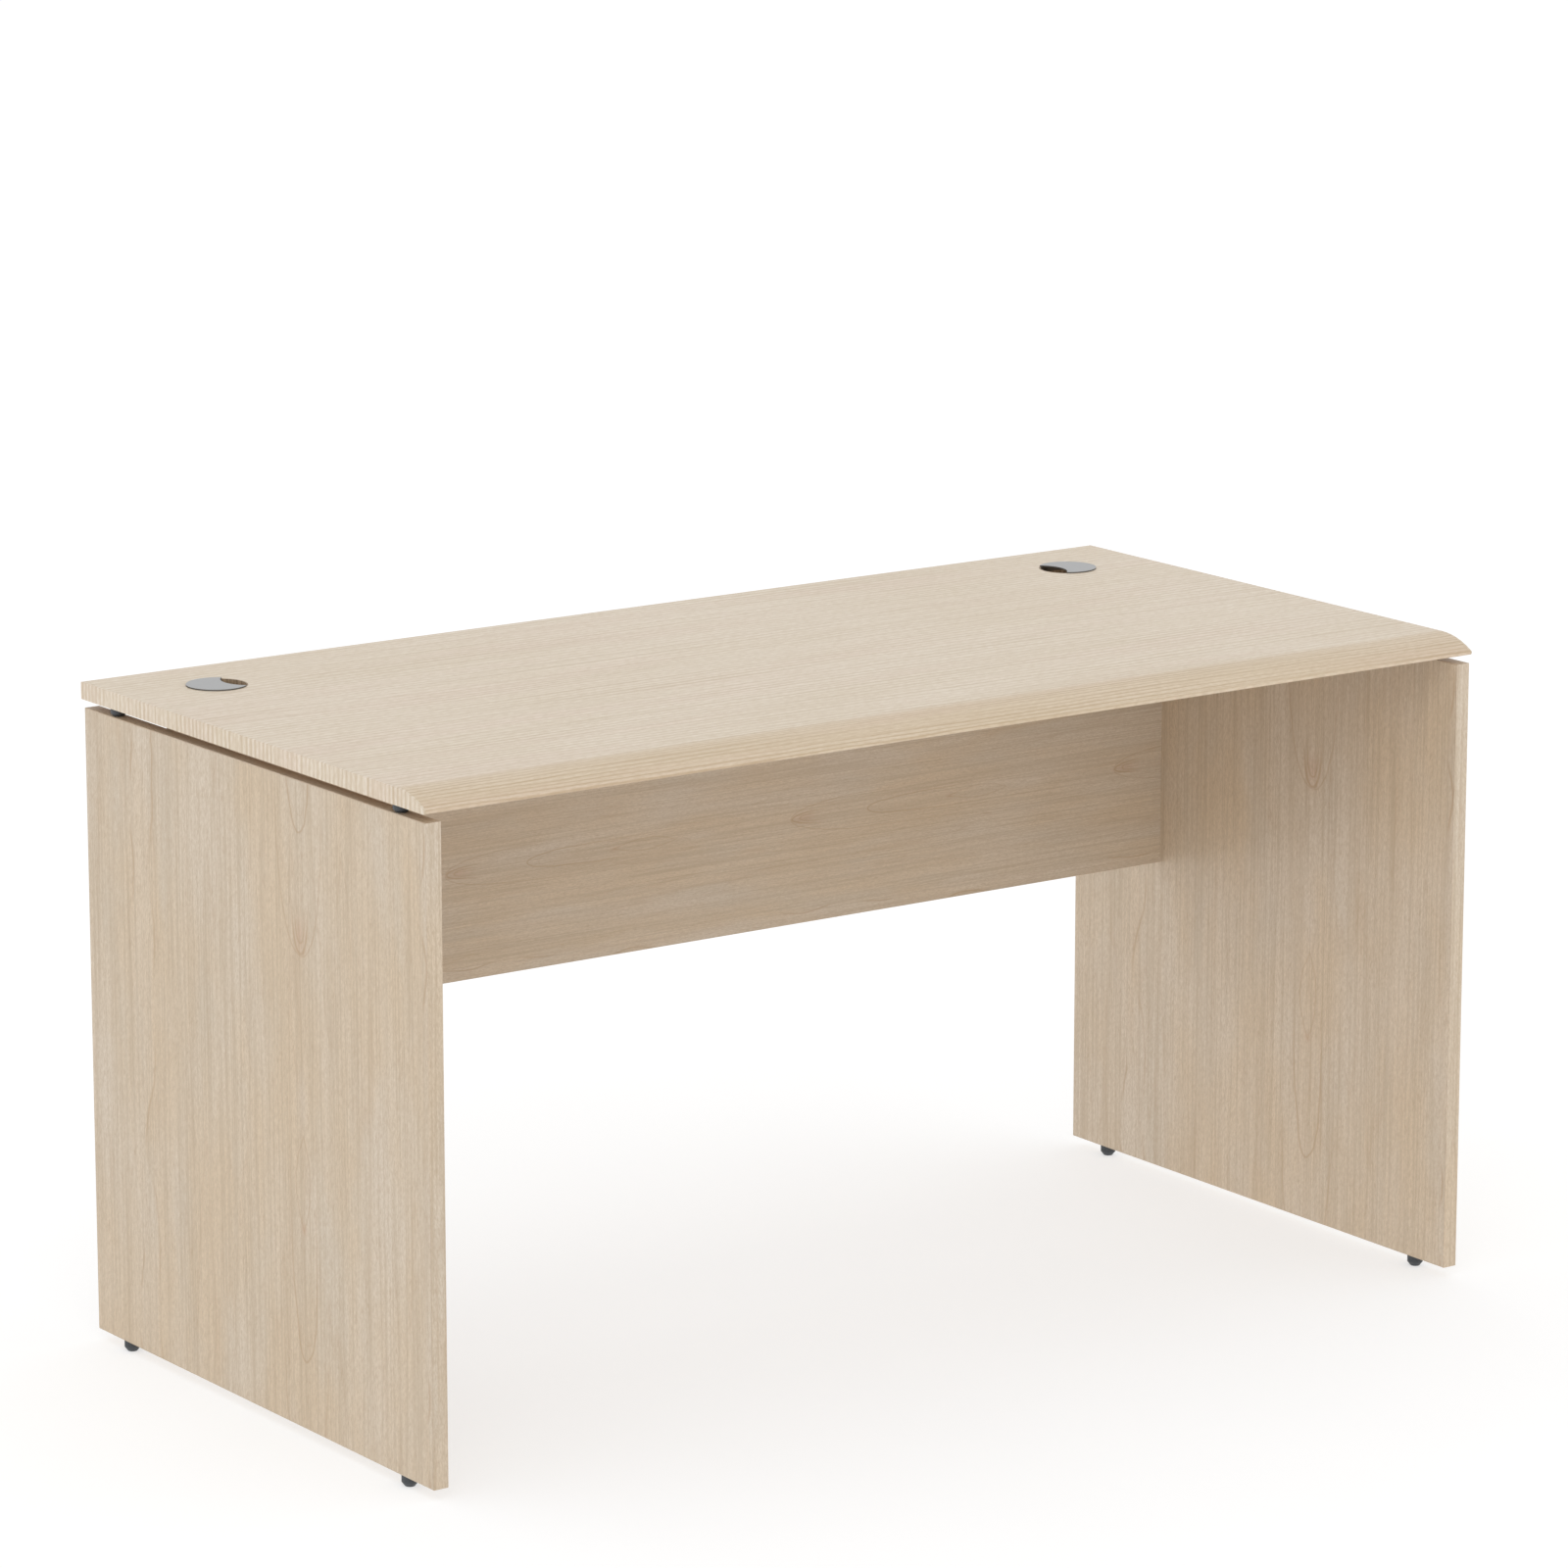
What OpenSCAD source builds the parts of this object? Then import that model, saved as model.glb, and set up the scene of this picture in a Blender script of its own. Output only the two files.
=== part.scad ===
// Teacher desk: a wood-decor top on two panel legs with a modesty panel,
// two cable grommets with turning caps and four screw-adjustable feet.
// Origin: on the floor, under the middle of the desktop.
// +X runs along the desktop, -Y faces the teacher's seat, +Z is up.

/* [Desk] */
// Length of the desktop
desk_length = 1400; // [1200:10:1800]
// Depth of the desktop, front tip to rear edge
desk_depth = 700; // [640:10:800]
// Height of the working surface above the floor
desk_height = 750; // [700:5:780]

/* [Desktop] */
// Thickness of the desktop's chipboard
core_t = 18; // [18:1:25]
// Thickness of the laminate over the top and around the front
laminate_t = 0.8; // [0.6:0.1:1.2]
// Thickness of the backing sheet under the board
backing_t = 0.4; // [0.3:0.1:0.6]
// How far the laminate wraps under the front edge
wrap_under = 20; // [15:1:40]
// Thickness of the desktop's edge bands
desktop_band_t = 2; // [1:0.5:3]
// Radius of the long curve that drops to the front tip
crown_r = 97; // [80:1:120]
// Radius of the small nose at the front tip
nose_r = 2.6; // [2:0.1:4]

/* [Legs] */
// Thickness of the leg panels
leg_t = 18; // [16:1:25]
// Gap between the end of the desktop and a leg's outer face
leg_end_inset = 2.4; // [0:0.2:20]
// Gap between the desktop's front tip and the legs' front edge
leg_front_inset = 1.4; // [0:0.2:20]
// Gap between the desktop's rear edge and the legs' rear edge
leg_rear_inset = 3.4; // [0:0.2:20]
// Clear height between a leg and the desktop
spacer_h = 9.4; // [8:0.2:14]
// Thickness of the edge bands on the legs and the modesty panel
band_t = 1; // [0.5:0.5:2]

/* [Modesty panel] */
// Thickness of the modesty panel
modesty_t = 18; // [16:1:25]
// Height of the modesty panel
modesty_h = 340; // [300:5:420]
// Gap between the desktop's rear edge and the modesty panel's rear face
modesty_setback = 149.6; // [100:0.2:200]

/* [Grommets] */
// Distance from the end of the desktop to a grommet's centre
grommet_end = 113; // [90:1:200]
// Distance from the rear edge to a grommet's centre
grommet_rear = 100.6; // [80:0.2:120]
// Thickness of the metal cap
cap_t = 1.5; // [1:0.1:3]
// Diameter of the hole through the desktop, which the cap just covers
hole_d = 68; // [64:0.5:70]
// Radius of the cable notch cut into the cap
notch_r = 36; // [30:1:40]
// Distance from the cap's centre to the notch's centre
notch_offset = 46; // [44:1:50]

/* [Feet] */
// Diameter of a foot and of a spacer
foot_d = 18; // [16:0.5:18]
// Height of a foot when it is screwed right in
foot_h = 12.4; // [12:0.2:16]
// Distance of the feet and spacers from the desk's middle, front and rear
foot_y = 288; // [250:1:300]
// How far a foot screws out
foot_travel = 10; // [5:1:12]

/* [Hidden] */

$fn = 64;
eps = 0.01;
// Radial clearance of pieces that slide, turn or are pushed into a hole
fit = 0.05;

// Colours
top_decor = "#d9ccbc";
nose_decor = "#d3c0aa";
leg_decor = "#ccb9a4";
chipboard = "#b08d62";
backing_brown = "#8a6f58";
liner_brown = "#8b6f52";
cap_silver = "#b9b9b9";
foot_grey = "#3b4044";
zinc = "#c8c8c4";
beech = "#d8b684";
nylon = "#e8e6df";

// Heights
top_t = core_t + laminate_t + backing_t;
under_z = desk_height - top_t;
leg_top_z = under_z - spacer_h;
modesty_z = under_z - modesty_h;

// Places along X and Y
end_x = desk_length / 2;
front_y = -desk_depth / 2;
rear_y = desk_depth / 2;
leg_out_x = end_x - leg_end_inset;
leg_in_x = leg_out_x - leg_t;
leg_mid_x = leg_out_x - leg_t / 2;
leg_front_y = front_y + leg_front_inset;
leg_rear_y = rear_y - leg_rear_inset;
modesty_rear_y = rear_y - modesty_setback;
modesty_mid_y = modesty_rear_y - modesty_t / 2;
grommet_x = end_x - grommet_end;
grommet_y = rear_y - grommet_rear;
sides = [-1, 1];

// Front edge: a long arc from the flat top, tangent to the small nose
nose_y = front_y + nose_r;
nose_z = under_z + nose_r;
crown_z = desk_height - crown_r;
crown_y = nose_y + sqrt(pow(crown_r - nose_r, 2) - pow(nose_z - crown_z, 2));
tangent_angle = atan2(nose_z - crown_z, nose_y - crown_y);
crown_steps = 24;
nose_steps = 12;
nose_step = (270 - tangent_angle) / nose_steps;
wrap_end_y = nose_y + wrap_under;
core_rear_y = rear_y - desktop_band_t;

// Pins between the legs and the desktop
pin_r = 4;
pin_in_leg = 25;
pin_in_top = 12;
spacer_chamfer = 3.2;

// Grommet
liner_r = hole_d / 2;
liner_wall = 1.5;
skirt_t = 1.5;
skirt_h = 8;

// Feet: M6 stem in a sleeve pressed into the leg
thread_r = 3;
thread_pitch = 1;
sleeve_r = 5;
sleeve_l = 20;
stem_in_leg = 24;
pad_h = 7.2;
pad_floor_r = 5.35;
pad_chamfer_h = 4.6;
collar_gap = 0.1;
socket_floor = 2;
neck_z = [socket_floor + 2.2, socket_floor + 3.6];
neck_r = 2.3;
flutes = 12;
flute_r = 0.8;

// Cam joints, at the ends and the top of the modesty panel
cam_r = 7.5;
cam_depth = 13;
cam_back = 34;
bolt_hole_r = 4;
bolt_r = 3;
bolt_grip = 11;
bolt_head_r = 3.3;
bolt_neck_r = 1.9;
cam_recess = 0.5;
cam_key_r = 2.5;
cam_slot_w = 1.2;
bolt_play = 0.3;
cover_r = 8.5;
cover_t = 1;
cover_plug = 2;
dowel_r = 4;
dowel_in_modesty = 20;
dowel_in_mate = 10;
leg_cam_rise = [60, 260];
leg_dowel_rise = [92, 292];
top_cam_x = [-480, -160, 160, 480];
top_dowel_x = [-448, 0, 448];

// ---- helpers ----

// Extrudes a (Y, Z) section along X
module along_x(x0, x1) {
  translate([x0, 0, 0]) rotate([90, 0, 90]) linear_extrude(x1 - x0) children();
}

// A box from one corner to the other
module block(low, high) {
  translate(low) cube(high - low);
}

// Frame of one cam joint: +X points at the mating board, +Z out of the rear face
module joint_frame(x, z, turn) {
  translate([x, modesty_mid_y, z]) rotate([-90, 0, 0]) rotate([0, 0, turn]) children();
}

module each_leg_cam() {
  for (side = sides, rise = leg_cam_rise)
    joint_frame(side * (leg_in_x - cam_back), modesty_z + rise, side > 0 ? 0 : 180) children();
}

module each_leg_dowel() {
  for (side = sides, rise = leg_dowel_rise)
    joint_frame(side * leg_in_x, modesty_z + rise, side > 0 ? 0 : 180) children();
}

module each_top_cam() {
  for (x = top_cam_x) joint_frame(x, under_z - cam_back, -90) children();
}

module each_top_dowel() {
  for (x = top_dowel_x) joint_frame(x, under_z, -90) children();
}

// A rod along +X of a joint frame
module rod(x0, x1, r) {
  translate([x0, 0, 0]) rotate([0, 90, 0]) cylinder(h = x1 - x0, r = r);
}

module at_foot(side, end) {
  translate([side * leg_mid_x, end * foot_y, 0]) children();
}

module each_foot() {
  for (side = sides, end = sides) at_foot(side, end) children();
}

// ---- desktop ----

// Points of an arc about a centre, from one angle to another
function arc(centre, r, from, to, steps) =
  [for (i = [0 : steps]) let (a = from + (to - from) * i / steps) centre + r * [cos(a), sin(a)]];

// The top's section line in (Y, Z), skin below its outer face: flat from the
// rear, down the crown, and around the nose to the underside
function top_line(skin, back_y) = concat(
  [[back_y, desk_height - skin]],
  arc([crown_y, crown_z], crown_r - skin, 90, tangent_angle, crown_steps),
  arc([nose_y, nose_z], nose_r - skin, tangent_angle + nose_step, 270, nose_steps - 1)
);

function reversed(points) = [for (i = [len(points) - 1 : -1 : 0]) points[i]];

module desktop_outline(back_y) {
  polygon(concat(top_line(0, back_y), [[back_y, under_z]]));
}

module core_outline() {
  polygon(concat(top_line(laminate_t, core_rear_y), [
    [wrap_end_y, under_z + laminate_t], [wrap_end_y, under_z + backing_t],
    [core_rear_y, under_z + backing_t]
  ]));
}

module laminate_outline() {
  polygon(concat(
    top_line(0, core_rear_y),
    [[wrap_end_y, under_z], [wrap_end_y, under_z + laminate_t]],
    reversed(top_line(laminate_t, core_rear_y))
  ));
}

module backing_outline() {
  translate([wrap_end_y, under_z]) square([core_rear_y - wrap_end_y, backing_t]);
}

module grommet_holes() {
  for (side = sides)
    translate([side * grommet_x, grommet_y, under_z - 1]) cylinder(h = top_t + 2, r = liner_r);
}

// Blind holes in the underside for pins, joint bolts and dowels
module underside_holes() {
  each_foot() translate([0, 0, under_z - 1]) cylinder(h = pin_in_top + 1, r = pin_r);
  each_top_cam() rod(cam_back - 1, cam_back + bolt_grip, bolt_r);
  each_top_dowel() rod(-1, dowel_in_mate, dowel_r);
}

module desktop_core() {
  color(chipboard) difference() {
    along_x(-end_x + desktop_band_t, end_x - desktop_band_t) core_outline();
    grommet_holes();
    underside_holes();
  }
}

module desktop_laminate() {
  color(top_decor) difference() {
    along_x(-end_x + desktop_band_t, end_x - desktop_band_t) laminate_outline();
    grommet_holes();
  }
}

module desktop_backing_sheet() {
  color(backing_brown) difference() {
    along_x(-end_x + desktop_band_t, end_x - desktop_band_t) backing_outline();
    grommet_holes();
    underside_holes();
  }
}

module desktop_edge_left() {
  color(nose_decor) along_x(-end_x, -end_x + desktop_band_t) desktop_outline(rear_y);
}

module desktop_edge_right() {
  color(nose_decor) along_x(end_x - desktop_band_t, end_x) desktop_outline(rear_y);
}

module desktop_edge_rear() {
  color(nose_decor) block(
    [-end_x + desktop_band_t, rear_y - desktop_band_t, under_z],
    [end_x - desktop_band_t, rear_y, desk_height]
  );
}

// ---- legs ----

// Holes of one leg: pins from the top, sleeves from below, joints from inside
module leg_holes() {
  each_foot() {
    translate([0, 0, leg_top_z - pin_in_leg]) cylinder(h = pin_in_leg + 1, r = pin_r);
    translate([0, 0, foot_h - 1]) cylinder(h = stem_in_leg + 3, r = sleeve_r);
  }
  each_leg_cam() rod(cam_back - 1, cam_back + bolt_grip, bolt_r);
  each_leg_dowel() rod(-1, dowel_in_mate, dowel_r);
}

// A stretch of one leg, given as Y and Z limits
module leg_piece(side, low, high) {
  difference() {
    block(
      [side * leg_mid_x - leg_t / 2, low[0], low[1]],
      [side * leg_mid_x + leg_t / 2, high[0], high[1]]
    );
    leg_holes();
  }
}

module leg_panel(side) {
  color(leg_decor) leg_piece(
    side,
    [leg_front_y + band_t, foot_h + band_t],
    [leg_rear_y - band_t, leg_top_z - band_t]
  );
}

module leg_edge_front(side) {
  color(nose_decor)
    leg_piece(side, [leg_front_y, foot_h], [leg_front_y + band_t, leg_top_z]);
}

module leg_edge_rear(side) {
  color(nose_decor)
    leg_piece(side, [leg_rear_y - band_t, foot_h], [leg_rear_y, leg_top_z]);
}

module leg_edge_top(side) {
  color(nose_decor) leg_piece(
    side,
    [leg_front_y + band_t, leg_top_z - band_t],
    [leg_rear_y - band_t, leg_top_z]
  );
}

module leg_edge_bottom(side) {
  color(nose_decor) leg_piece(
    side,
    [leg_front_y + band_t, foot_h],
    [leg_rear_y - band_t, foot_h + band_t]
  );
}

module left_leg_panel() { leg_panel(-1); }
module left_leg_edge_front() { leg_edge_front(-1); }
module left_leg_edge_rear() { leg_edge_rear(-1); }
module left_leg_edge_top() { leg_edge_top(-1); }
module left_leg_edge_bottom() { leg_edge_bottom(-1); }
module right_leg_panel() { leg_panel(1); }
module right_leg_edge_front() { leg_edge_front(1); }
module right_leg_edge_rear() { leg_edge_rear(1); }
module right_leg_edge_top() { leg_edge_top(1); }
module right_leg_edge_bottom() { leg_edge_bottom(1); }

// ---- modesty panel ----

module cam_holes() {
  translate([0, 0, modesty_t / 2 - cam_depth]) cylinder(h = cam_depth + 1, r = cam_r);
  rod(0, cam_back + 1, bolt_hole_r);
}

module modesty_panel() {
  color(leg_decor) difference() {
    block(
      [-leg_in_x, modesty_rear_y - modesty_t, modesty_z + band_t],
      [leg_in_x, modesty_rear_y, under_z]
    );
    each_leg_cam() cam_holes();
    each_top_cam() cam_holes();
    each_leg_dowel() rod(-dowel_in_modesty, 1, dowel_r);
    each_top_dowel() rod(-dowel_in_modesty, 1, dowel_r);
  }
}

module modesty_edge_bottom() {
  color(nose_decor) block(
    [-leg_in_x, modesty_rear_y - modesty_t, modesty_z],
    [leg_in_x, modesty_rear_y, modesty_z + band_t]
  );
}

// ---- cam joints ----

// Cam in its locked place: a narrow slot holds the bolt's neck, and the wide
// mouth that lets the head in has turned to the far side
module cam() {
  face = modesty_t / 2 - cam_recess;
  floor_z = modesty_t / 2 - cam_depth + fit;
  color(zinc) difference() {
    translate([0, 0, floor_z]) cylinder(h = face - floor_z, r = cam_r - fit);
    rod(-cam_r - 1, 2 * bolt_neck_r, bolt_head_r + bolt_play);
    rod(0, cam_r + 1, bolt_neck_r + bolt_play);
    translate([0, 0, face - cam_key_r]) cylinder(h = cam_key_r + 1, r = cam_key_r);
    for (turn = [45, 135])
      rotate([0, 0, turn]) translate([-cam_r * 0.6, -cam_slot_w / 2, face - cam_key_r])
        cube([cam_r * 1.2, cam_slot_w, cam_key_r + 1]);
  }
}

// Connecting bolt: a head in the cam, a neck, a shank and a thread in the mate
module joint_bolt() {
  color(zinc) {
    rod(-1, bolt_head_r, bolt_head_r);
    rod(bolt_head_r, cam_r + 1, bolt_neck_r);
    rod(cam_r + 1, cam_back + bolt_grip - 1, bolt_r - fit);
  }
}

module joint_dowel() {
  color(beech) rod(1 - dowel_in_modesty, dowel_in_mate - 1, dowel_r - fit);
}

// Push-in cover over a cam, on the modesty panel's rear face
module cam_cover() {
  color(leg_decor) translate([0, 0, modesty_t / 2]) {
    rotate_extrude() polygon([
      [0, 0], [cover_r, 0], [cover_r, cover_t * 0.4], [cover_r - cover_t * 0.6, cover_t],
      [0, cover_t]
    ]);
    translate([0, 0, -cover_plug]) cylinder(h = cover_plug + eps, r = cam_key_r - fit);
  }
}

module leg_joint_cams() { each_leg_cam() cam(); }
module leg_joint_bolts() { each_leg_cam() joint_bolt(); }
module leg_joint_dowels() { each_leg_dowel() joint_dowel(); }
module leg_joint_cam_covers() { each_leg_cam() cam_cover(); }
module top_joint_cams() { each_top_cam() cam(); }
module top_joint_bolts() { each_top_cam() joint_bolt(); }
module top_joint_dowels() { each_top_dowel() joint_dowel(); }
module top_joint_cam_covers() { each_top_cam() cam_cover(); }

// ---- grommets ----

module grommet_liner(side) {
  color(liner_brown) translate([side * grommet_x, grommet_y, under_z]) difference() {
    cylinder(h = top_t, r = liner_r - fit);
    translate([0, 0, -1]) cylinder(h = top_t + 2, r = liner_r - liner_wall);
  }
}

// Metal cap that lies on the liner's rim and turns in it; its cable notch
// faces the desk's middle
module grommet_cap(side) {
  skirt_r = liner_r - liner_wall - fit;
  color(cap_silver) translate([side * grommet_x, grommet_y, desk_height]) difference() {
    union() {
      cylinder(h = cap_t, r = liner_r - fit);
      difference() {
        translate([0, 0, -skirt_h]) cylinder(h = skirt_h + eps, r = skirt_r);
        translate([0, 0, -skirt_h - 1]) cylinder(h = skirt_h + 1, r = skirt_r - skirt_t);
      }
    }
    translate([-side * notch_offset, 0, -skirt_h - 1])
      cylinder(h = skirt_h + cap_t + 2, r = notch_r);
  }
}

module left_grommet_liner() { grommet_liner(-1); }
module right_grommet_liner() { grommet_liner(1); }
module left_grommet_cap() { grommet_cap(-1); }
module right_grommet_cap() { grommet_cap(1); }

// ---- spacers between the legs and the desktop ----

module spacer(side, end) {
  r = foot_d / 2;
  color(foot_grey) at_foot(side, end) translate([0, 0, leg_top_z]) rotate_extrude() polygon([
    [pin_r, 0], [r - spacer_chamfer, 0], [r, spacer_chamfer], [r, spacer_h], [pin_r, spacer_h]
  ]);
}

module front_left_spacer() { spacer(-1, -1); }
module front_right_spacer() { spacer(1, -1); }
module rear_left_spacer() { spacer(-1, 1); }
module rear_right_spacer() { spacer(1, 1); }

module spacer_pins() {
  color(zinc) each_foot() translate([0, 0, leg_top_z - pin_in_leg + 0.5])
    cylinder(h = pin_in_leg + spacer_h + pin_in_top - 1, r = pin_r - fit);
}

// ---- feet ----

// Swivelling pad with a snap socket for the stem's end
module foot_pad(side, end) {
  r = foot_d / 2;
  color(foot_grey) at_foot(side, end) rotate_extrude() polygon([
    [0, 0], [pad_floor_r, 0], [r, pad_chamfer_h], [r, pad_h], [thread_r, pad_h],
    [thread_r, neck_z[1]], [neck_r, neck_z[1]], [neck_r, neck_z[0]],
    [thread_r, neck_z[0]], [thread_r, socket_floor], [0, socket_floor]
  ]);
}

// Fluted collar moulded onto the stem, turned by hand
module foot_collar(side, end) {
  h = foot_h - pad_h - 2 * collar_gap;
  color(foot_grey) at_foot(side, end) translate([0, 0, pad_h + collar_gap]) difference() {
    cylinder(h = h, r = foot_d / 2);
    translate([0, 0, -1]) cylinder(h = h + 2, r = thread_r);
    for (i = [0 : flutes - 1]) rotate([0, 0, i * 360 / flutes])
      translate([foot_d / 2 + flute_r * 0.6, 0, -1]) cylinder(h = h + 2, r = flute_r, $fn = 24);
  }
}

// Steel stem; the thread is drawn as one ridge for each turn of pitch
module foot_stem(side, end) {
  r = thread_r - fit;
  root_r = r - 0.54 * thread_pitch;
  top_z = foot_h + stem_in_leg;
  turns = floor((stem_in_leg - 1) / thread_pitch);
  ridges = [
    for (i = [0 : turns - 1], k = [0, 1])
      [k == 0 ? root_r : r, foot_h + (i + k / 2) * thread_pitch]
  ];
  color(zinc) at_foot(side, end) rotate_extrude() polygon(concat(
    [
      [0, socket_floor + fit], [r, socket_floor + fit], [r, neck_z[0] - fit],
      [neck_r - fit, neck_z[0] - fit], [neck_r - fit, neck_z[1] + fit],
      [r, neck_z[1] + fit], [r, foot_h - collar_gap]
    ],
    ridges,
    [[root_r, top_z - 1], [root_r - 0.5, top_z], [0, top_z]]
  ));
}

// Plain-bored nylon sleeve pressed into the leg's bottom edge
module foot_insert(side, end) {
  color(nylon) at_foot(side, end) translate([0, 0, foot_h]) difference() {
    cylinder(h = sleeve_l, r = sleeve_r - fit);
    translate([0, 0, -1]) cylinder(h = sleeve_l + 2, r = thread_r);
  }
}

module front_left_foot_pad() { foot_pad(-1, -1); }
module front_right_foot_pad() { foot_pad(1, -1); }
module rear_left_foot_pad() { foot_pad(-1, 1); }
module rear_right_foot_pad() { foot_pad(1, 1); }
module front_left_foot_collar() { foot_collar(-1, -1); }
module front_right_foot_collar() { foot_collar(1, -1); }
module rear_left_foot_collar() { foot_collar(-1, 1); }
module rear_right_foot_collar() { foot_collar(1, 1); }
module front_left_foot_stem() { foot_stem(-1, -1); }
module front_right_foot_stem() { foot_stem(1, -1); }
module rear_left_foot_stem() { foot_stem(-1, 1); }
module rear_right_foot_stem() { foot_stem(1, 1); }
module front_left_foot_insert() { foot_insert(-1, -1); }
module front_right_foot_insert() { foot_insert(1, -1); }
module rear_left_foot_insert() { foot_insert(-1, 1); }
module rear_right_foot_insert() { foot_insert(1, 1); }

desktop_core();
desktop_laminate();
desktop_backing_sheet();
desktop_edge_left();
desktop_edge_right();
desktop_edge_rear();
left_leg_panel();
left_leg_edge_front();
left_leg_edge_rear();
left_leg_edge_top();
left_leg_edge_bottom();
right_leg_panel();
right_leg_edge_front();
right_leg_edge_rear();
right_leg_edge_top();
right_leg_edge_bottom();
modesty_panel();
modesty_edge_bottom();
left_grommet_liner();
right_grommet_liner();
left_grommet_cap();
right_grommet_cap();
front_left_spacer();
front_right_spacer();
rear_left_spacer();
rear_right_spacer();
spacer_pins();
front_left_foot_pad();
front_right_foot_pad();
rear_left_foot_pad();
rear_right_foot_pad();
front_left_foot_collar();
front_right_foot_collar();
rear_left_foot_collar();
rear_right_foot_collar();
front_left_foot_stem();
front_right_foot_stem();
rear_left_foot_stem();
rear_right_foot_stem();
front_left_foot_insert();
front_right_foot_insert();
rear_left_foot_insert();
rear_right_foot_insert();
leg_joint_cams();
leg_joint_bolts();
leg_joint_dowels();
leg_joint_cam_covers();
top_joint_cams();
top_joint_bolts();
top_joint_dowels();
top_joint_cam_covers();
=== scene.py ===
"""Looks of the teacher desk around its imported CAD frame: materials, edges, light, camera."""
import math

import bpy
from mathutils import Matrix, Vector

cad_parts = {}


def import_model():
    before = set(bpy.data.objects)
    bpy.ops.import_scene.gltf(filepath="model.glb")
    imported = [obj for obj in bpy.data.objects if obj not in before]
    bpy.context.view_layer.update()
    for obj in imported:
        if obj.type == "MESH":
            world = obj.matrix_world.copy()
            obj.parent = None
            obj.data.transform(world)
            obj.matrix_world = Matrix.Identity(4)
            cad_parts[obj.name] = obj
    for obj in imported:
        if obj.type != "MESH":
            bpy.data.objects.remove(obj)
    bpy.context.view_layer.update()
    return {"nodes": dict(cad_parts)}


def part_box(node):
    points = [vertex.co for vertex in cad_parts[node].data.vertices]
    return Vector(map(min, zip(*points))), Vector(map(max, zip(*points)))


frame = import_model()
NODES = frame["nodes"]
MM = 0.001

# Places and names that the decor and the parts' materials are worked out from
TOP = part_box("desktop_laminate")
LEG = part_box("left_leg_panel")
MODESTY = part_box("modesty_panel")
CROWN_DEPTH = 0.052
CORNERS = [f"{end}_{side}" for end in ("front", "rear") for side in ("left", "right")]
SIDES = ("left", "right")


def linear(red, green, blue):
    """An sRGB colour in 0..255 as linear RGBA."""
    def one(value):
        value /= 255
        return value / 12.92 if value <= 0.04045 else ((value + 0.055) / 1.055) ** 2.4
    return (one(red), one(green), one(blue), 1.0)


# ---------------------------------------------------------------- node helper

class Graph:
    """Adds shader nodes to a new material and links them."""

    def __init__(self, name):
        self.material = bpy.data.materials.new(name)
        self.material.use_nodes = True
        self.tree = self.material.node_tree
        self.tree.nodes.clear()
        coordinates = self.add("ShaderNodeTexCoord").outputs["Object"]
        split = self.add("ShaderNodeSeparateXYZ", {"Vector": coordinates})
        self.x, self.y, self.z = split.outputs

    def add(self, kind, inputs=None, **settings):
        node = self.tree.nodes.new(kind)
        for key, value in settings.items():
            setattr(node, key, value)
        for key, value in (inputs or {}).items():
            self.feed(node.inputs[key], value)
        return node

    def feed(self, socket, value):
        if isinstance(value, bpy.types.NodeSocket):
            self.tree.links.new(value, socket)
        else:
            socket.default_value = value

    def math(self, operation, *values):
        node = self.add("ShaderNodeMath", operation=operation)
        for socket, value in zip(node.inputs, values):
            self.feed(socket, value)
        return node.outputs[0]

    def plus(self, a, b):
        return self.math("ADD", a, b)

    def times(self, a, b):
        return self.math("MULTIPLY", a, b)

    def ramp(self, value, low, high):
        """0 at low, 1 at high and a smooth step between them; low may be the larger one."""
        node = self.add("ShaderNodeMapRange", interpolation_type="SMOOTHSTEP")
        for key, setting in (("Value", value), ("From Min", low), ("From Max", high)):
            self.feed(node.inputs[key], setting)
        return node.outputs["Result"]

    def vector(self, x, y, z):
        return self.add("ShaderNodeCombineXYZ", {"X": x, "Y": y, "Z": z}).outputs[0]

    def noise(self, x, y, z, detail, roughness=0.5):
        """Noise of a point whose coordinates are already in cells."""
        inputs = {
            "Vector": self.vector(x, y, z), "Scale": 1.0,
            "Detail": detail, "Roughness": roughness,
        }
        return self.add("ShaderNodeTexNoise", inputs).outputs["Fac"]

    def mix(self, factor, a, b, blend="MIX"):
        """Colour a where factor is 0, and b (or a blended with b) where it is 1."""
        node = self.add("ShaderNodeMix", data_type="RGBA", blend_type=blend)
        self.feed(node.inputs["Factor"], factor)
        color_a, color_b = 6, 7  # the node has sockets of the same names for other types
        self.feed(node.inputs[color_a], a)
        self.feed(node.inputs[color_b], b)
        return node.outputs[2]

    def finish(self, color, roughness, height=None, depth=0.0, **fixed):
        """Ends in a Principled shader; depth is the bump's height in metres."""
        shader = self.add("ShaderNodeBsdfPrincipled")
        self.feed(shader.inputs["Base Color"], color)
        self.feed(shader.inputs["Roughness"], roughness)
        for key, value in fixed.items():
            shader.inputs[key.replace("_", " ")].default_value = value
        if height is not None:
            bump = self.add("ShaderNodeBump", {"Height": height})
            bump.inputs["Distance"].default_value = depth
            self.feed(shader.inputs["Normal"], bump.outputs["Normal"])
        output = self.add("ShaderNodeOutputMaterial")
        self.feed(output.inputs["Surface"], shader.outputs["BSDF"])
        return self.material


# ---------------------------------------------------------------- decors

# The figure repeats along the grain and across it. Its places below are in metres from
# the lowest arch's tip: u along the grain, growing the way the arms open, and v across.
TILE_ALONG = 0.578
TILE_ACROSS = 0.590
TILE_START = -0.04

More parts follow.
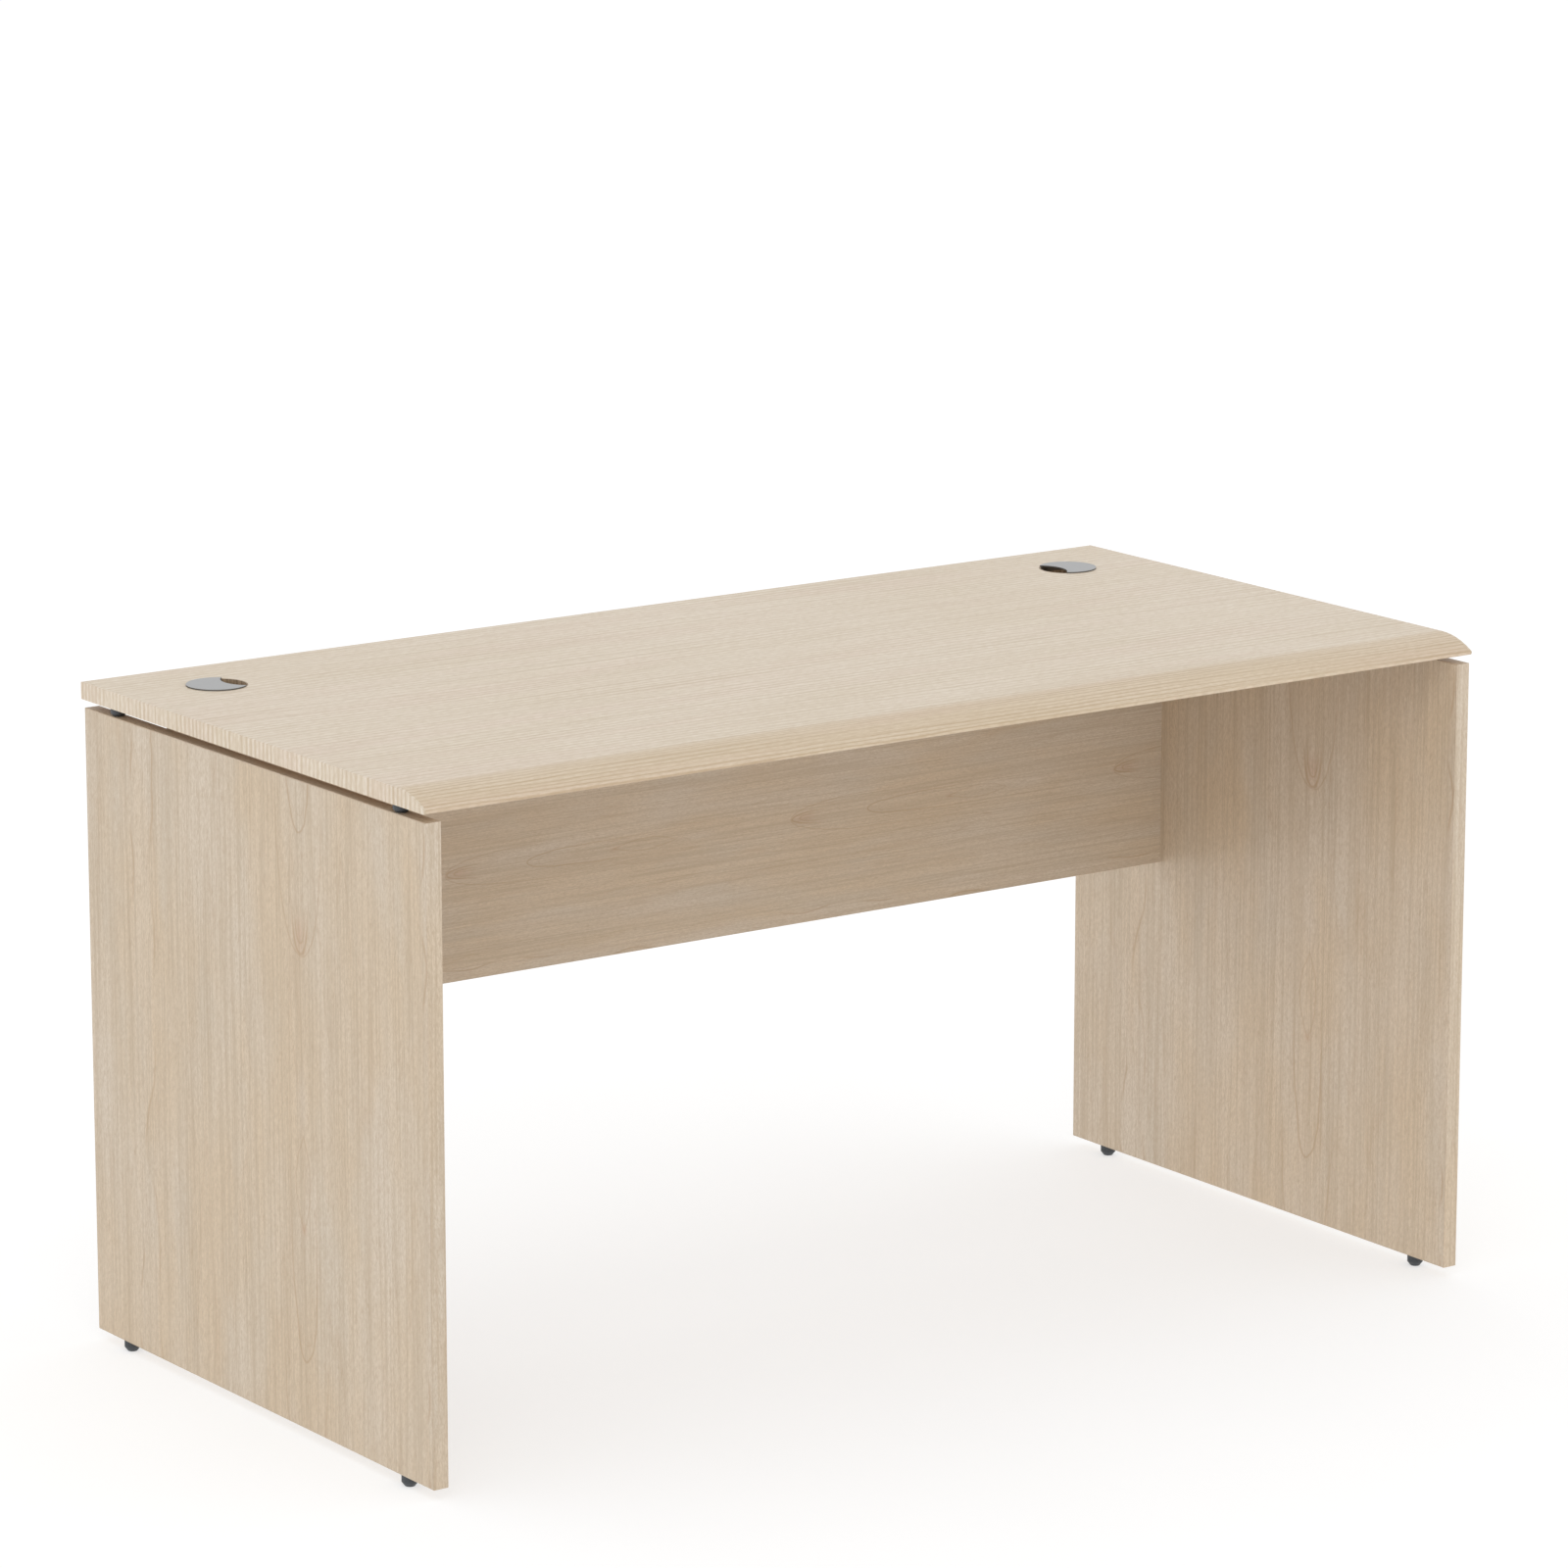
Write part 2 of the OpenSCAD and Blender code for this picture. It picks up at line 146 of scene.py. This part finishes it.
# Arches: tip, half width, reach, thickness, length, strength
ARCHES = (
    (-0.002, 0.052, 0.090, 0.0012, 0.260, 0.65),
    (0.000, 0.018, 0.030, 0.0018, 0.070, 1.00),
    (0.012, 0.011, 0.018, 0.0013, 0.050, 0.80),
    (0.131, 0.0255, 0.050, 0.0014, 0.250, 0.90),
    (0.150, 0.040, 0.110, 0.0010, 0.200, 0.30),
)
# Small oval: centre, half length, half width, thickness
OVAL = (0.327, 0.052, 0.0145, 0.0012)
# Reddish tips and pale patches: centre, half length, half width
TIPS = ((0.020, 0.018, 0.010), (0.277, 0.006, 0.005))
PALE_PATCH = (0.416, 0.034, 0.011)
# Wavy band: its place across, and the place, length and size of its bulge
BAND_V = 0.306
BULGE_U, BULGE_LENGTH, BULGE = 0.305, 0.055, 0.024
# Row of bumps past the band: its place across from the band, then, along the grain, where
# it starts, a bump's pitch, peak and length, and the height of a bump
RIM_V = 0.049
BUMP_START, BUMP_PITCH, BUMP_PEAK, BUMP_LENGTH, BUMP = -0.03, 0.135, 0.060, 0.045, 0.010
# The row is left out around this place: its middle, and half of its length with and without
# the fading
GAP_U, GAP_FADED, GAP_BARE = 0.07, 0.12, 0.09
# Pale patches beside the arches: their place across, and centre, half length, half width
ASIDE_V = -0.155
UPPER_PALE = (0.360, 0.110, 0.030)
LOWER_PALE = (0.120, 0.050, 0.026)


def bell(g, value, width):
    """1 where value is 0, falling to nothing a couple of widths away."""
    scaled = g.times(value, 1 / width)
    return g.math("EXPONENT", g.times(g.times(scaled, scaled), -1.0))


def wrap(g, value, period, low):
    """value brought into low .. low + period."""
    return g.plus(g.math("FLOORED_MODULO", g.plus(value, -low), period), low)


def arch(g, u, v, tip, width, reach, thickness, length):
    """Line of one arch: its round tip points to smaller u, its arms open to +-width and fade."""
    rise = g.plus(u, -tip)
    closing = g.math("EXPONENT", g.times(rise, -1 / reach))
    level = g.plus(g.plus(g.times(closing, -1.0), 1.0), g.times(g.times(v, v), -width ** -2))
    slope_u = g.times(closing, 1 / reach)
    slope_v = g.times(v, 2 * width ** -2)
    steepness = g.plus(g.plus(g.times(slope_u, slope_u), g.times(slope_v, slope_v)), 1.0)
    line = bell(g, g.math("DIVIDE", level, g.math("SQRT", steepness)), thickness)
    return g.times(line, g.ramp(rise, length, 0.2 * length))


def lens(g, u, v, centre, half_length, width, thickness):
    """Line around a pointed oval."""
    t = g.times(g.plus(u, -centre), 1 / half_length)
    half = g.times(g.plus(g.times(g.times(t, t), -1.0), 1.0), width)
    return bell(g, g.plus(g.math("ABSOLUTE", v), g.times(half, -1.0)), thickness)


def blot(g, u, v, centre, half_length, half_width):
    """Soft oval patch."""
    return bell(g, g.math("SQRT", g.plus(
        g.math("POWER", g.times(g.plus(u, -centre), 1 / half_length), 2.0),
        g.math("POWER", g.times(v, 1 / half_width), 2.0))), 1.0)


def figure(g, u, v):
    """Flat-sawn figure of one tile: nested arches, a small oval above them and a wavy
    band beside them. Gives brown lines, reddish tips, and pale patches."""
    sway = g.plus(g.noise(g.times(u, 9), g.times(v, 9), 3.1, detail=1), -0.5)
    shake = g.plus(g.noise(g.times(u, 60), g.times(v, 60), 5.2, detail=2), -0.5)
    side = g.plus(v, g.plus(g.times(sway, 0.010), g.times(shake, 0.004)))
    v0 = wrap(g, side, TILE_ACROSS, -TILE_ACROSS / 2)
    u0 = wrap(g, g.plus(u, g.times(shake, 0.006)), TILE_ALONG, TILE_START)

    lines = g.times(lens(g, u0, v0, *OVAL), 0.60)
    for *shape, strength in ARCHES:
        lines = g.math("MAXIMUM", lines, g.times(arch(g, u0, v0, *shape), strength))

    band = wrap(g, g.plus(side, -BAND_V), TILE_ACROSS, -TILE_ACROSS / 2)
    band = g.plus(band, g.times(bell(g, g.plus(u0, -BULGE_U), BULGE_LENGTH), -BULGE))
    band = g.plus(band, g.times(sway, 0.012))
    edge = g.times(bell(g, band, 0.0016), g.ramp(sway, -0.20, 0.10))

    bumps = wrap(g, g.plus(u0, -BUMP_START), BUMP_PITCH, 0.0)
    bumps = g.times(bell(g, g.plus(bumps, -BUMP_PEAK), BUMP_LENGTH), BUMP)
    rim = bell(g, g.plus(g.plus(band, bumps), -RIM_V), 0.0018)
    rim = g.times(rim, g.ramp(bumps, 0.003, 0.007))
    rim = g.times(rim, g.ramp(g.math("ABSOLUTE", g.plus(u0, -GAP_U)), GAP_FADED, GAP_BARE))
    lines = g.math("MAXIMUM", lines, g.times(g.math("MAXIMUM", edge, rim), 0.85))

    tips = g.plus(*(blot(g, u0, v0, *tip) for tip in TIPS))
    pale = g.times(g.ramp(band, 0.0005, 0.006), g.ramp(band, 0.050, 0.038))
    pale = g.plus(g.times(pale, 0.55), blot(g, u0, v0, *PALE_PATCH))
    aside = g.plus(v0, -ASIDE_V)
    pale = g.plus(pale, g.times(blot(g, u0, aside, *UPPER_PALE), 0.70))
    pale = g.plus(pale, g.times(blot(g, u0, aside, *LOWER_PALE), 0.55))
    return lines, tips, pale


def flecks(g, u, v, w):
    """Fine fibres, and the short pores between them."""
    slant = g.plus(v, g.times(u, 0.06))
    fine = g.noise(g.times(u, 210), g.times(slant, 620), w, detail=3, roughness=0.6)
    pores = g.noise(g.times(u, 90), g.times(slant, 420), g.plus(w, 7.0), detail=1)
    return fine, g.ramp(pores, 0.56, 0.72)


def panel_decor(name, grain, cross, normal, origin=(0.0, 0.0), scale=(1.0, 1.0), figured=True):
    """Maple-like melamine. grain, cross and normal name the axes of the board."""
    g = Graph(name)
    along, across, depth = (getattr(g, axis_name) for axis_name in (grain, cross, normal))
    u = g.times(g.plus(along, -origin[0]), 1 / scale[0])
    v = g.times(g.plus(across, -origin[1]), 1 / scale[1])
    w = g.times(depth, 2.0)
    cloud = g.noise(g.times(u, 4), g.times(v, 11), w, detail=3)
    hue = g.noise(g.times(u, 5), g.times(v, 16), g.plus(w, 4.0), detail=2)
    streaks = g.noise(g.times(u, 1.8), g.times(v, 95), w, detail=3, roughness=0.6)
    threads = g.noise(g.times(u, 5.0), g.times(v, 330), w, detail=2)
    long_line = g.noise(g.times(u, 1.3), g.times(v, 19), g.plus(w, 2.0), detail=2)
    long_line = bell(g, g.plus(long_line, -0.5), 0.008)
    fine, pores = flecks(g, u, v, w)
    color = g.mix(g.ramp(cloud, 0.32, 0.68), WOOD_PALE, WOOD_WARM)
    color = g.mix(g.times(g.ramp(hue, 0.50, 0.75), 0.55), color, WOOD_GREY)
    color = g.mix(g.times(g.ramp(streaks, 0.45, 0.72), 0.34), color, WOOD_DARK)
    color = g.mix(g.times(g.ramp(threads, 0.42, 0.68), 0.52), color, WOOD_DARK)
    color = g.mix(g.times(long_line, 0.18), color, WOOD_LINE)
    if figured:
        lines, tips, pale = figure(g, u, v)
        color = g.mix(g.times(pale, 0.34), color, WOOD_HIGH)
        color = g.mix(g.times(tips, 0.30), color, WOOD_TIP)
        color = g.mix(g.times(lines, 0.66), color, WOOD_LINE)
    color = g.mix(g.times(g.ramp(fine, 0.28, 0.74), 0.62), color, WOOD_DARK)
    color = g.mix(g.times(pores, 0.30), color, WOOD_PORE)
    height = g.plus(g.times(fine, 0.6), g.times(pores, -0.8))
    roughness = g.plus(g.times(fine, 0.10), g.plus(g.times(pores, 0.10), 0.42))
    return g.finish(color, roughness, height, 0.02 * MM, Specular_IOR_Level=0.35)


def top_decor(name, grain, cross, crown=False, pitch=0.0110, strength=1.0):
    """Straight-grained laminate. With crown the lines run on, closer and darker, round the nose."""
    g = Graph(name)
    along, across = getattr(g, grain), getattr(g, cross)
    if crown:
        past = g.plus(g.y, -(TOP[0].y + CROWN_DEPTH))
        front = g.ramp(past, 0.012, -0.006)
        closer = g.times(g.math("MINIMUM", past, 0.0), 0.7)
        across = g.plus(g.plus(across, g.z), closer)
    swell = g.noise(g.times(along, 1.3), g.times(across, 9), 2.0, detail=2)
    ripple = g.noise(g.times(along, 9), g.times(across, 45), 8.0, detail=1)
    bend = g.plus(g.times(g.plus(swell, -0.5), 3.0), g.times(g.plus(ripple, -0.5), 0.7))
    wave = g.math("COSINE", g.times(g.plus(g.times(across, 1 / pitch), bend), 2 * math.pi))
    mask = g.noise(g.times(along, 3.0), g.times(across, 60), 4.4, detail=2)
    mask = g.plus(g.times(g.ramp(mask, 0.32, 0.64), 0.75), 0.25)
    dark = g.times(g.ramp(wave, 0.30, 1.0), mask)
    light = g.times(g.ramp(wave, -0.30, -1.0), mask)
    narrow = g.noise(g.times(along, 2.0), g.times(across, 230), 6.1, detail=2)
    weave = g.noise(g.times(along, 120), g.times(across, 420), 3.3, detail=2)
    patch = g.noise(g.times(along, 3.0), g.times(across, 8), 5.3, detail=2)
    hue = g.noise(g.times(along, 2.4), g.times(across, 13), 9.9, detail=2)
    color = g.mix(g.ramp(patch, 0.30, 0.70), TOP_PALE, TOP_MEAN)
    color = g.mix(g.times(g.ramp(hue, 0.45, 0.72), 0.70), color, TOP_PINK)
    color = g.mix(g.times(g.ramp(narrow, 0.42, 0.70), 0.40), color, TOP_LINE)
    color = g.mix(g.times(light, 0.46 * strength), color, TOP_HIGH)
    color = g.mix(g.times(dark, 0.42 * strength), color, TOP_LINE)
    color = g.mix(g.times(g.ramp(weave, 0.36, 0.66), 0.40), color, TOP_LINE)
    if crown:
        color = g.mix(front, color, TOP_YELLOW, blend="MULTIPLY")
        color = g.mix(g.times(g.times(front, dark), 0.30), color, TOP_DEEP)
    height = g.plus(g.times(dark, -0.7), g.times(weave, 0.5))
    roughness = g.plus(g.times(dark, 0.08), g.plus(g.times(weave, 0.10), 0.38))
    return g.finish(color, roughness, height, 0.04 * MM, Specular_IOR_Level=0.4)


# ---------------------------------------------------------------- other materials

def chipboard():
    """Pressed chips, seen only where the board is cut."""
    g = Graph("chipboard")
    cells = g.add("ShaderNodeTexVoronoi", {"Scale": 420.0, "Randomness": 1.0})
    grey = g.add("ShaderNodeSeparateColor", {"Color": cells.outputs["Color"]}).outputs[0]
    color = g.mix(grey, linear(150, 116, 76), linear(206, 174, 130))
    return g.finish(color, 0.85, grey, 0.3 * MM)


def backing_sheet():
    """Plain brown paper laminate under the desktop."""
    g = Graph("backing_sheet")
    mottle = g.noise(g.times(g.x, 60), g.times(g.y, 60), 0.0, detail=4)
    grain = g.noise(g.times(g.x, 25), g.times(g.y, 500), 0.0, detail=2)
    color = g.mix(mottle, linear(156, 130, 106), linear(176, 149, 124))
    color = g.mix(g.times(g.ramp(grain, 0.45, 0.75), 0.25), color, linear(126, 102, 82))
    return g.finish(color, 0.62, grain, 0.03 * MM)


def grommet_plastic():
    """Wood-toned plastic with the printed streaks of the liner's wall."""
    g = Graph("grommet_plastic")
    streaks = g.noise(g.times(g.x, 260), g.times(g.y, 260), g.times(g.z, 12), detail=2)
    color = g.mix(g.ramp(streaks, 0.36, 0.64), linear(122, 103, 82), linear(168, 148, 124))
    return g.finish(color, 0.55, streaks, 0.05 * MM)


def satin_cap(side):
    """Satin aluminium with fine circular brushing about the cap's centre, and painted shade on its
    side wall.
    """
    g = Graph(f"satin_cap_{side}")
    low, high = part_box(f"{side}_grommet_liner")
    centre = (low + high) / 2
    x, y = g.plus(g.x, -centre.x), g.plus(g.y, -centre.y)
    radius = g.math("SQRT", g.plus(g.times(x, x), g.times(y, y)))
    angle = g.math("ARCTAN2", y, x)
    rings = g.noise(g.times(radius, 5200), g.times(angle, 3.0), 0.0, detail=2)
    cloud = g.noise(g.times(g.x, 90), g.times(g.y, 90), 0.0, detail=2)
    color = g.mix(rings, linear(172, 173, 174), linear(186, 186, 186))
    facing = g.add("ShaderNodeNewGeometry").outputs["Normal"]
    upward = g.math("ABSOLUTE", g.add("ShaderNodeSeparateXYZ", {"Vector": facing}).outputs[2])
    # Painted shade: faces that turn away from upright (the cap's side wall) are mixed towards dark
    # grey.
    color = g.mix(g.ramp(upward, 0.7, 0.3), color, linear(112, 110, 107))
    roughness = g.plus(0.40, g.times(g.plus(rings, cloud), 0.10))
    return g.finish(color, roughness, rings, 0.01 * MM, Metallic=0.85)


def moulded(name, color, light, roughness):
    """Moulded plastic: fine spark-eroded texture and slight mottling."""
    g = Graph(name)
    grain = g.noise(*(g.times(c, 900) for c in (g.x, g.y, g.z)), detail=2)
    cloud = g.noise(*(g.times(c, 70) for c in (g.x, g.y, g.z)), detail=3)
    tint = g.mix(cloud, color, light)
    rough = g.plus(roughness, g.times(grain, 0.15))
    return g.finish(tint, rough, grain, 0.05 * MM)


def zinc(name, along):
    """Zinc-plated steel with a faint drawn grain along one axis."""
    g = Graph(name)
    stretch = [25 if axis_name == along else 900 for axis_name in "xyz"]
    grain = g.noise(*(g.times(c, s) for c, s in zip((g.x, g.y, g.z), stretch)), detail=2)
    color = g.mix(grain, linear(182, 186, 190), linear(214, 216, 214))
    return g.finish(color, g.plus(0.28, g.times(grain, 0.15)), grain, 0.01 * MM, Metallic=0.95)


def beech():
    """Dowels, with the grain along x."""
    g = Graph("beech")
    grain = g.noise(g.times(g.x, 60), g.times(g.y, 700), g.times(g.z, 700), detail=3)
    color = g.mix(grain, linear(196, 150, 104), linear(226, 190, 146))
    return g.finish(color, 0.6, grain, 0.05 * MM)


# Colours of the decors
TOP_PALE = linear(226, 213, 195)
TOP_MEAN = linear(221, 207, 186)
TOP_PINK = linear(223, 205, 188)
TOP_LINE = linear(196, 176, 148)
TOP_HIGH = linear(230, 219, 204)
TOP_DEEP = linear(170, 142, 108)
TOP_YELLOW = (0.93, 0.885, 0.815, 1.0)
WOOD_PALE = linear(216, 202, 184)
WOOD_WARM = linear(214, 194, 168)
WOOD_GREY = linear(207, 197, 182)
WOOD_DARK = linear(184, 165, 140)
WOOD_PORE = linear(180, 157, 132)
WOOD_LINE = linear(174, 141, 106)
WOOD_TIP = linear(190, 140, 112)
WOOD_HIGH = linear(222, 211, 198)

# Where the arch's tip lies on the panels, along the grain and across it
LEG_ORIGIN = (LEG[1].z - 0.186, LEG[0].y + 0.2485)
MODESTY_ORIGIN = (MODESTY[0].x + 0.344, MODESTY[0].z + 0.1225)
MODESTY_SCALE = (0.818, 0.455)

MATERIALS = {
    "top_laminate": top_decor("top_laminate", "x", "y", crown=True),
    "top_end_band": top_decor("top_end_band", "z", "y", pitch=0.0085, strength=1.7),
    "top_rear_band": top_decor("top_rear_band", "x", "z"),
    "leg_decor": panel_decor("leg_decor", "z", "y", "x", LEG_ORIGIN),
    "modesty_decor": panel_decor("modesty_decor", "x", "z", "y", MODESTY_ORIGIN, MODESTY_SCALE),
    "band_upright": panel_decor("band_upright", "z", "x", "y", figured=False),
    "band_deep": panel_decor("band_deep", "y", "x", "z", figured=False),
    "band_long": panel_decor("band_long", "x", "y", "z", figured=False),
    "chipboard": chipboard(),
    "backing_sheet": backing_sheet(),
    "grommet_plastic": grommet_plastic(),
    "satin_cap_left": satin_cap("left"),
    "satin_cap_right": satin_cap("right"),
    "dark_plastic": moulded("dark_plastic", linear(56, 60, 64), linear(70, 74, 78), 0.42),
    "nylon": moulded("nylon", linear(226, 224, 216), linear(240, 238, 232), 0.45),
    "cover_plastic": moulded(
        "cover_plastic", linear(200, 180, 160), linear(208, 190, 170), 0.45),
    "zinc_upright": zinc("zinc_upright", "z"),
    "zinc_long": zinc("zinc_long", "x"),
    "beech": beech(),
}


def painted():
    """Material of every CAD node."""
    paint = {
        "desktop_core": "chipboard", "desktop_laminate": "top_laminate",
        "desktop_backing_sheet": "backing_sheet", "desktop_edge_rear": "top_rear_band",
        "modesty_panel": "modesty_decor", "modesty_edge_bottom": "band_long",
        "spacer_pins": "zinc_upright",
    }
    for side in SIDES:
        paint[f"desktop_edge_{side}"] = "top_end_band"
        paint[f"{side}_leg_panel"] = "leg_decor"
        paint[f"{side}_leg_edge_front"] = "band_upright"
        paint[f"{side}_leg_edge_rear"] = "band_upright"
        paint[f"{side}_leg_edge_top"] = "band_deep"
        paint[f"{side}_leg_edge_bottom"] = "band_deep"
        paint[f"{side}_grommet_liner"] = "grommet_plastic"
        paint[f"{side}_grommet_cap"] = f"satin_cap_{side}"
    for corner in CORNERS:
        paint[f"{corner}_spacer"] = "dark_plastic"
        paint[f"{corner}_foot_pad"] = "dark_plastic"
        paint[f"{corner}_foot_collar"] = "dark_plastic"
        paint[f"{corner}_foot_stem"] = "zinc_upright"
        paint[f"{corner}_foot_insert"] = "nylon"
    for joint in ("leg", "top"):
        paint[f"{joint}_joint_cams"] = "zinc_long"
        paint[f"{joint}_joint_bolts"] = "zinc_long"
        paint[f"{joint}_joint_dowels"] = "beech"
        paint[f"{joint}_joint_cam_covers"] = "cover_plastic"
    return paint


def soften(node, width):
    """Rounds a CAD node's sharp edges with modifiers; its own mesh is left alone."""
    weld = node.modifiers.new("weld", "WELD")
    weld.merge_threshold = 0.005 * MM
    bevel = node.modifiers.new("bevel", "BEVEL")
    bevel.limit_method = "ANGLE"
    bevel.angle_limit = math.radians(40)
    bevel.width = width
    bevel.segments = 2
    bevel.use_clamp_overlap = True
    normals = node.modifiers.new("normals", "WEIGHTED_NORMAL")
    normals.keep_sharp = False


for node_name, material_name in painted().items():
    for slot in NODES[node_name].material_slots:
        slot.material = MATERIALS[material_name]

EDGE_WIDTHS = {
    "desktop_edge_left": 0.5, "desktop_edge_right": 0.5, "desktop_edge_rear": 0.5,
    "desktop_laminate": 0.12, "modesty_edge_bottom": 0.2,
}
for side in SIDES:
    for end in ("front", "rear", "top", "bottom"):
        EDGE_WIDTHS[f"{side}_leg_edge_{end}"] = 0.2
for node_name, width in EDGE_WIDTHS.items():
    soften(NODES[node_name], width * MM)


# ---------------------------------------------------------------- stage

def floor():
    """A wide white floor, lit from within like a light table, at the height of the feet."""
    size = 60.0  # half of a side
    mesh = bpy.data.meshes.new("floor")
    corners = [(x * size, y * size, 0.0) for x, y in ((-1, -1), (1, -1), (1, 1), (-1, 1))]
    mesh.from_pydata(corners, [], [(0, 1, 2, 3)])
    plane = bpy.data.objects.new("floor", mesh)
    bpy.context.scene.collection.objects.link(plane)
    g = Graph("floor")
    speckle = g.noise(g.times(g.x, 3), g.times(g.y, 3), 0.0, detail=2)
    color = g.mix(speckle, (0.50, 0.50, 0.50, 1.0), (0.52, 0.52, 0.52, 1.0))
    mesh.materials.append(g.finish(
        color, 0.9, Specular_IOR_Level=0.0, Emission_Color=(1.0, 1.0, 1.0, 1.0),
        Emission_Strength=0.56))
    return plane


def world(strength):
    """White surroundings."""
    scene = bpy.context.scene
    scene.world = bpy.data.worlds.new("studio")
    scene.world.use_nodes = True
    background = scene.world.node_tree.nodes["Background"]
    background.inputs["Color"].default_value = (1.0, 1.0, 1.0, 1.0)
    background.inputs["Strength"].default_value = strength


def soft_light(name, place, aim, size, power):
    """A round area light of diameter size at place, pointed at aim."""
    data = bpy.data.lights.new(name, "AREA")
    data.shape = "DISK"
    data.size = size
    data.energy = power
    light = bpy.data.objects.new(name, data)
    light.location = place
    light.rotation_euler = (Vector(aim) - Vector(place)).to_track_quat("-Z", "Y").to_euler()
    bpy.context.scene.collection.objects.link(light)


def up_light(name, towards, angle, strength, ground, lit):
    """Faint parallel light that rises through the glowing floor onto the objects in lit."""
    data = bpy.data.lights.new(name, "SUN")
    data.angle = math.radians(angle)
    data.energy = strength
    light = bpy.data.objects.new(name, data)
    light.rotation_euler = Vector(towards).to_track_quat("-Z", "Y").to_euler()
    bpy.context.scene.collection.objects.link(light)
    passed = bpy.data.collections.new("no_shadow_from_below")
    passed.objects.link(ground)
    passed.collection_objects[0].light_linking.link_state = "EXCLUDE"
    light.light_linking.blocker_collection = passed
    receivers = bpy.data.collections.new("lit_from_below")
    for node in lit:
        receivers.objects.link(node)
    light.light_linking.receiver_collection = receivers


def camera(place, azimuth, elevation, lens):
    """A camera looking along azimuth (0 is +Y) and down by elevation, in degrees."""
    data = bpy.data.cameras.new("camera")
    data.sensor_width = 36.0
    data.lens = lens
    data.clip_end = 100.0
    eye = bpy.data.objects.new("camera", data)
    eye.location = place
    eye.rotation_euler = (math.radians(90 - elevation), 0.0, math.radians(azimuth))
    bpy.context.scene.collection.objects.link(eye)
    bpy.context.scene.camera = eye


ground = floor()
world(strength=0.93)
soft_light("key", place=(-3.0, -3.6, 4.0), aim=(0, 0, 0.4), size=3.0, power=20.0)
up_light("low_back", towards=(1.0, -1.0, 0.26), angle=8.0, strength=0.10, ground=ground,
         lit=[node for name, node in NODES.items() if name.startswith("right_leg")])
camera(place=(-4.2425, -5.9577, 2.2485), azimuth=-35.425, elevation=12.64, lens=154.16)
bpy.context.scene.view_settings.view_transform = "Standard"
